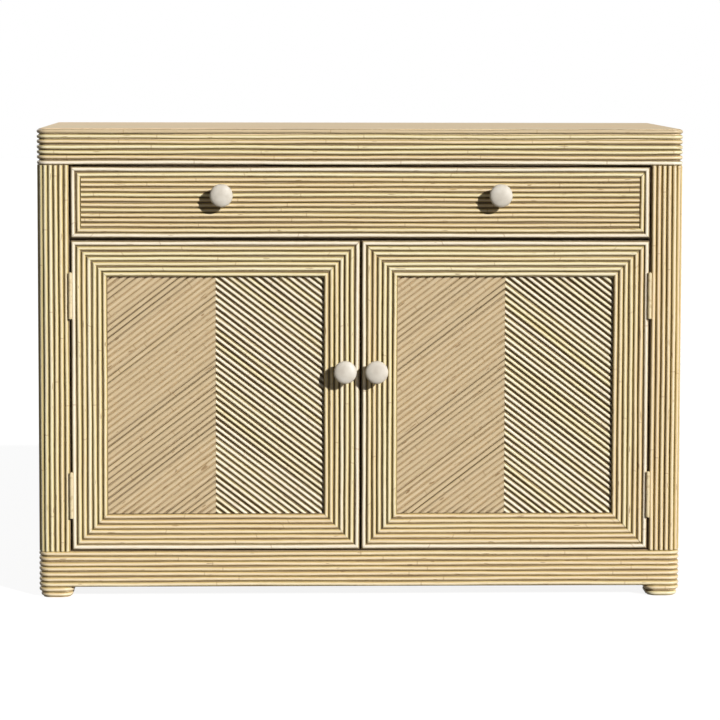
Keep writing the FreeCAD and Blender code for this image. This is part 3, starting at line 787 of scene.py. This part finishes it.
def lay_half_field(x0, x1, z0, z1, y, slope):
    """Slanting reeds over half a panel, trimmed to its edges.

    They are tan where slope is 1, rising to the right, and pale where it is -1, falling: painted light on the
    same reeds, the pale ones with a painted highlight and wider painted shade at their edges."""
    along = Vector((math.cos(chevron_angle), 0.0, slope * math.sin(chevron_angle)))
    across = Vector((-along.z, 0.0, along.x))
    corners = [Vector((x, y, z)) for x in (x0, x1) for z in (z0, z1)]
    spread = [corner.dot(across) for corner in corners]
    base = Vector((x1 if slope > 0 else x0, y, z0)).dot(across)
    first = math.floor((min(spread) - base) / reed_pitch)
    last = math.ceil((max(spread) - base) / reed_pitch)
    middle = (corners[0] + corners[3]) / 2
    reach = (corners[3] - corners[0]).length / 2
    reeds = []
    for i in range(first, last):
        offset = base + (i + 0.5) * reed_pitch - middle.dot(across)
        centre = middle + across * offset
        if slope > 0:
            width, wander = reed_width * luck.uniform(*tan_half_widths), tan_half_wander
            tone, shade_spread = luck.uniform(*tan_half_tones), luck.choice(tan_half_shade_spread)
        else:
            width, wander = reed_width, pale_half_wander
            tone, shade_spread = luck.uniform(*pale_half_tones), pale_half_shade_spread
        reeds.append(lay_reed(field_blank, centre - along * reach, centre + along * reach, -backward, width,
                              wander=wander, tone=tone, shade_spread=shade_spread))
    field = join(reeds)
    for plane, normal in ((x0, -right), (x1, right), (z0, -upward), (z1, upward)):
        edit_all(field)
        bpy.ops.mesh.bisect(plane_co=(plane, y, plane), plane_no=normal, clear_outer=True, use_fill=True)
        bpy.ops.object.mode_set(mode="OBJECT")
    edit_all(field)
    bpy.ops.mesh.normals_make_consistent(inside=False)
    bpy.ops.object.mode_set(mode="OBJECT")
    return field


for door in ("left_door", "right_door"):
    on_left = door == "left_door"
    edges = [corner.x for stile in ("_hinge_stile", "_lock_stile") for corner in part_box(door + stile)]
    x0, x1 = min(edges), max(edges)
    frame_reeds = lay_rings(x0, x1, door_low_z, door_high_z, frame_ring_count, frame_looks[door])
    barrel_low, barrel_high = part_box(door.replace("door", "frame") + "_hinge_leaves")
    barrel_x = barrel_high.x - barrel_radius if on_left else barrel_low.x + barrel_radius
    beside_barrel = frame_reeds[3 if on_left else 1]     # the left or the right reed of the outer ring
    relieve_at_hinges(beside_barrel, barrel_x, barrel_low.y + barrel_radius)
    bind_reeds(frame_reeds, door + "_frame_reed_rings", door, door + "_frame_reeds")

    frame_inset = frame_ring_count * reed_pitch + seam
    field_x0, field_x1 = x0 + frame_inset, x1 - frame_inset
    field_z0, field_z1 = door_low_z + frame_inset, door_high_z - frame_inset
    middle_x = (field_x0 + field_x1) / 2
    panel_y = wood_front + panel_recess
    halves = [lay_half_field(field_x0, middle_x - seam / 2, field_z0, field_z1, panel_y, 1),
              lay_half_field(middle_x + seam / 2, field_x1, field_z0, field_z1, panel_y, -1)]
    bind_reeds(halves, door + "_chevron_field", door, door + "_chevron_reeds")
for blank in (short_blank, upright_blank, long_blank, field_blank):
    bpy.data.objects.remove(blank)


# ---------------------------------------------------------------- knobs
# Four turned mushroom knobs, painted a matt off-white: two on the drawer and one on each door.
# Each is drawn onto the reeds by a screw from behind, whose head shows on the inside.

knob_vertices = 48
knob_profile = (             # distance from the reeds, radius
    (0.003, 0.0090), (0.008, 0.0080), (0.0115, 0.0090), (0.0140, 0.0116), (0.0158, 0.0148),
    (0.0172, 0.0172), (0.0188, 0.0184), (0.0206, 0.0189), (0.0224, 0.0190), (0.0240, 0.0187),
    (0.0254, 0.0179), (0.0267, 0.0164), (0.0279, 0.0139), (0.0288, 0.0107), (0.0295, 0.0070),
    (0.0299, 0.0035))
knob_radius = max(radius for _, radius in knob_profile)


def knob_paint():
    """Matt paint, a little cloudy, with fine marks of the brush."""
    material, tree, shader = new_material("knob_paint")
    cloud = noise(tree, object_place(tree), scale=60.0, detail=4.0)
    brushing = noise(tree, object_place(tree), scale=900.0, detail=2.0)
    colour = ramp(tree, cloud, (0.32, screen_colour(186, 177, 163)), (0.5, screen_colour(197, 189, 175)),
                  (0.7, screen_colour(204, 197, 185)))
    coat(tree, shader, colour, cloud, (0.62, 0.5), brushing, strength=0.12, depth=0.0002)
    return material


def turn_knob(crest_y):
    """A knob on the axis X = 0, Z = 0, standing on the crests of the reeds."""
    bpy.ops.object.select_all(action="DESELECT")
    last_distance, last_radius = knob_profile[0]
    bpy.ops.mesh.primitive_cylinder_add(vertices=knob_vertices, radius=last_radius, depth=last_distance,
                                        location=(0.0, crest_y - last_distance / 2, 0.0),
                                        rotation=(math.pi / 2, 0.0, 0.0))
    knob = bpy.context.object
    bpy.ops.object.transform_apply(location=True, rotation=True)
    bpy.ops.object.mode_set(mode="EDIT")
    pick_faces(knob, -backward)
    for distance, radius in knob_profile[1:]:
        step = last_distance - distance
        bpy.ops.mesh.extrude_region_move(TRANSFORM_OT_translate={"value": (0.0, step, 0.0)})
        ratio = radius / last_radius
        bpy.ops.transform.resize(value=(ratio, 1.0, ratio), center_override=(0.0, 0.0, 0.0))
        last_distance, last_radius = distance, radius
    bpy.ops.mesh.poke(offset=0.0)
    bpy.ops.object.mode_set(mode="OBJECT")
    return knob


knob_finish = knob_paint()
knob_pattern = turn_knob(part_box("left_door_knob")[1].y)


def set_knobs(name, body, node, places):
    """Copies of the knob at places on one body."""
    knobs = []
    for x, z in places:
        knob = copy_of(knob_pattern)
        knob.data.transform(Matrix.Translation((x, 0.0, z)))
        knobs.append(knob)
    piece = join(knobs)
    dress(piece, name, knob_finish, 60)
    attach(piece, body)
    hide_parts(node)


drawer_knob_low, drawer_knob_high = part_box("drawer_knobs")
drawer_knob_x = drawer_knob_high.x - knob_radius
drawer_knob_z = (drawer_knob_low.z + drawer_knob_high.z) / 2
set_knobs("drawer_turned_knobs", "drawer", "drawer_knobs",
          [(-drawer_knob_x, drawer_knob_z), (drawer_knob_x, drawer_knob_z)])
knob_places = {}
for door in ("left_door", "right_door"):
    knob_low, knob_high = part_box(door + "_knob")
    knob_places[door] = ((knob_low.x + knob_high.x) / 2, (knob_low.z + knob_high.z) / 2)
    set_knobs(door + "_turned_knob", door, door + "_knob", [knob_places[door]])
bpy.data.objects.remove(knob_pattern)


# ---------------------------------------------------------------- hinges, catches and strike plates
# The butt hinges are steel, painted cream with the cabinet. Magnetic catches of brown plastic under the
# drawer rail meet zinc-plated strike plates on the doors.

def worn_coat(name, colour, worn_colour, roughness):
    """A fitting's surface, faintly dimpled and a little darker and duller in worn patches."""
    material, tree, shader = new_material(name)
    patches = noise(tree, object_place(tree), scale=140.0, detail=5.0)
    dimples = noise(tree, object_place(tree), scale=1100.0, detail=2.0)
    mixed = blend(tree, "MIX", fade(tree, patches, 0.5, 0.72, 0.0, 0.8), colour, worn_colour)
    coat(tree, shader, mixed, patches, (roughness, roughness + 0.12), dimples, strength=0.1, depth=0.0002)
    return material


hinge_paint = worn_coat("hinge_paint", screen_colour(206, 189, 150), screen_colour(176, 155, 113), 0.42)
strike_zinc = worn_coat("strike_zinc", screen_colour(176, 177, 176), screen_colour(150, 150, 148), 0.3)
strike_zinc.node_tree.nodes["Principled BSDF"].inputs["Metallic"].default_value = 1.0
catch_plastic = worn_coat("catch_plastic", screen_colour(96, 70, 48), screen_colour(84, 60, 40), 0.45)
for side_name in ("left", "right"):
    finish_nodes(hinge_paint, side_name + "_frame_hinge_leaves", side_name + "_door_hinge_leaves")
    finish_nodes(strike_zinc, side_name + "_door_strike_plate")
finish_nodes(catch_plastic, "door_catches")


# ---------------------------------------------------------------- screws
# Countersunk slotted screws hold the hinge leaves and strike plates, and round-headed ones the catches.
# A larger round-headed screw from the inside draws each knob against its front.

plate_screw_radius = 0.0032
plate_screw_rise = 0.00008   # of a countersunk head above its plate
catch_screw_radius = 0.003
catch_screw_height = 0.0012
knob_screw_radius = 0.0045
knob_screw_height = 0.0024
leaf_thickness = 0.0014
knuckle_gap = 0.0004         # between the barrel and the plate of a leaf
screw_end_distance = 0.009   # of the outer screws from the ends of a hinge
screw_stagger = 0.0025       # of the screws to each side of the middle of a leaf
strike_screw_inset = 0.005   # from the ends of a strike plate
catch_screw_inset = 0.006    # from the ends of a catch
catch_width = 0.04


def screw_head(radius, height):
    """A slotted head on the origin with its face to +Z, for copying."""
    bpy.ops.object.select_all(action="DESELECT")
    bpy.ops.mesh.primitive_cylinder_add(vertices=24, radius=radius, depth=height,
                                        location=(0.0, 0.0, height / 2))
    head = bpy.context.object
    bpy.ops.object.transform_apply(location=True)
    for edge in head.data.edges:
        edge.select = all(head.data.vertices[i].co.z > height * 0.9 for i in edge.vertices)
    for face in head.data.polygons:
        face.select = False
    bpy.ops.object.mode_set(mode="EDIT")
    bpy.ops.mesh.select_mode(type="EDGE")
    bpy.ops.mesh.bevel(offset=min(height, radius) * 0.5, segments=4)
    bpy.ops.object.mode_set(mode="OBJECT")
    bpy.ops.mesh.primitive_cube_add(size=1.0, location=(0.0, 0.0, height))
    slot = bpy.context.object
    slot.scale = (3 * radius, 0.3 * radius, height)
    cut_away(head, slot)
    return head


def drive_screws(name, body, head, places, finish):
    """Copies of a head at places, each a point on a surface and the way that the surface faces."""
    heads = []
    for point, out in places:
        screw = copy_of(head)
        own_turn = Matrix.Rotation(luck.uniform(0.0, math.pi), 4, "Z")
        facing = out.to_track_quat("Z", "Y").to_matrix().to_4x4()
        screw.data.transform(Matrix.Translation(point) @ facing @ own_turn)
        heads.append(screw)
    piece = join(heads)
    dress(piece, name, finish, 40)
    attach(piece, body)


flat_head = screw_head(plate_screw_radius, plate_screw_rise)
catch_head = screw_head(catch_screw_radius, catch_screw_height)
knob_head = screw_head(knob_screw_radius, knob_screw_height)
for side_name, mirror in (("left", 1), ("right", -1)):
    door = side_name + "_door"
    leaf_low, leaf_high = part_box(side_name + "_frame_hinge_leaves")
    plate_y = (leaf_low.y + 2 * barrel_radius + knuckle_gap + leaf_high.y) / 2
    post_face = mirror * (post_inner + leaf_thickness)
    door_face = mirror * (drawer_low.x - leaf_thickness)
    post_places, door_places = [], []
    for z in hinge_starts:
        for rise, shift in ((screw_end_distance, screw_stagger), (hinge_length / 2, -screw_stagger),
                            (hinge_length - screw_end_distance, screw_stagger)):
            post_places.append((Vector((post_face, plate_y + shift, z + rise)), mirror * right))
            door_places.append((Vector((door_face, plate_y + shift, z + rise)), -mirror * right))
    drive_screws(side_name + "_frame_hinge_screws", "cabinet", flat_head, post_places, hinge_paint)
    drive_screws(door + "_hinge_screws", door, flat_head, door_places, hinge_paint)

    strike_low, strike_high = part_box(door + "_strike_plate")
    strike_z = (strike_low.z + strike_high.z) / 2
    strike_places = [(Vector((x, strike_high.y, strike_z)), backward)
                     for x in (strike_low.x + strike_screw_inset, strike_high.x - strike_screw_inset)]
    drive_screws(door + "_strike_screws", door, flat_head, strike_places, strike_zinc)

    knob_x, knob_z = knob_places[door]
    knob_place = Vector((knob_x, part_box(door + "_lock_stile")[1].y, knob_z))
    drive_screws(door + "_knob_screw", door, knob_head, [(knob_place, backward)], strike_zinc)

drive_screws("drawer_knob_screws", "drawer", knob_head,
             [(Vector((x, drawer_high.y, drawer_knob_z)), backward) for x in (-drawer_knob_x, drawer_knob_x)],
             strike_zinc)
catch_low, catch_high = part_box("door_catches")
catch_middle_y = (catch_low.y + catch_high.y) / 2
catch_places = [(Vector((mirror * (catch_low.x + inset), catch_middle_y, catch_low.z)), -upward)
                for mirror in (1, -1) for inset in (catch_screw_inset, catch_width - catch_screw_inset)]
drive_screws("catch_screws", "cabinet", catch_head, catch_places, strike_zinc)
for head in (flat_head, catch_head, knob_head):
    bpy.data.objects.remove(head)


# ---------------------------------------------------------------- floor, light and camera
# A plain floor that looks white and keeps the shadow, in white surroundings. A small lamp in front, to the
# upper right, gives sharp shadows, and a weak soft one stands behind.

def seen_strength(tree, base, straight, mirrored):
    """Strength of a white: base on the object, more where it is seen straight, in gloss or through glass."""
    rays = shader_node(tree, "LightPath", {}).outputs
    indirect = reckon(tree, "MAXIMUM", rays["Is Glossy Ray"], rays["Is Transmission Ray"])
    strength = reckon(tree, "MULTIPLY_ADD", indirect, mirrored, base)
    return reckon(tree, "MULTIPLY_ADD", rays["Is Camera Ray"], straight, strength)


def floor_white():
    """Matt grey paint, lifted to the white of the background where it is seen."""
    material, tree, shader = new_material("studio_floor")
    shader.inputs["Base Color"].default_value = grey(0.16)
    shader.inputs["Roughness"].default_value = 1.0
    lift = seen_strength(tree, base=0.0, straight=0.88, mirrored=0.5)
    glow = shader_node(tree, "Emission", {"Color": grey(1.0), "Strength": lift})
    both = shader_node(tree, "AddShader", {0: shader.outputs["BSDF"], 1: glow.outputs["Emission"]})
    tree.links.new(both.outputs["Shader"], tree.nodes["Material Output"].inputs["Surface"])
    return material


bpy.ops.object.select_all(action="DESELECT")
bpy.ops.mesh.primitive_plane_add(size=40.0, location=(0.0, 0.0, 0.0))
floor = bpy.context.object
floor.name = "floor"
floor.data.materials.append(floor_white())

world = bpy.data.worlds.new("studio")
bpy.context.scene.world = world
world.use_nodes = True
surroundings = world.node_tree.nodes["Background"]
surroundings.inputs["Color"].default_value = grey(1.0)
world_strength = seen_strength(world.node_tree, base=0.02, straight=0.98, mirrored=0.48)
world.node_tree.links.new(world_strength, surroundings.inputs["Strength"])


def add_lamp(name, direction, strength, softness):
    """A far lamp whose light travels along direction; softness is the angle that it fills, in degrees."""
    lamp = bpy.data.lights.new(name, "SUN")
    lamp.energy = strength
    lamp.angle = math.radians(softness)
    holder = bpy.data.objects.new(name, lamp)
    holder.rotation_mode = "QUATERNION"
    holder.rotation_quaternion = Vector(direction).to_track_quat("-Z", "Y")
    bpy.context.collection.objects.link(holder)


add_lamp("key_lamp", (-0.77, 1.0, -0.53), 5.0, 1.5)
add_lamp("back_lamp", (0.55, -1.0, -0.6), 1.15, 30.0)

camera_pan = -0.0283         # in radians, from a level view along +Y: to the right
camera_tilt = -0.0773        # down
camera_roll = 0.002
camera_data = bpy.data.cameras.new("camera")
camera_data.lens = 145.54
camera_data.sensor_width = 36.0
camera_data.shift_y = -0.1111
camera = bpy.data.objects.new("camera", camera_data)
camera.location = (-0.1368, -5.0, 0.9001)
camera_turn = Matrix.Rotation(camera_pan, 3, "Z") @ Matrix.Rotation(math.pi / 2 + camera_tilt, 3, "X")
camera.rotation_euler = (camera_turn @ Matrix.Rotation(camera_roll, 3, "Z")).to_euler()
bpy.context.collection.objects.link(camera)
bpy.context.scene.camera = camera
bpy.context.scene.view_settings.view_transform = "Standard"
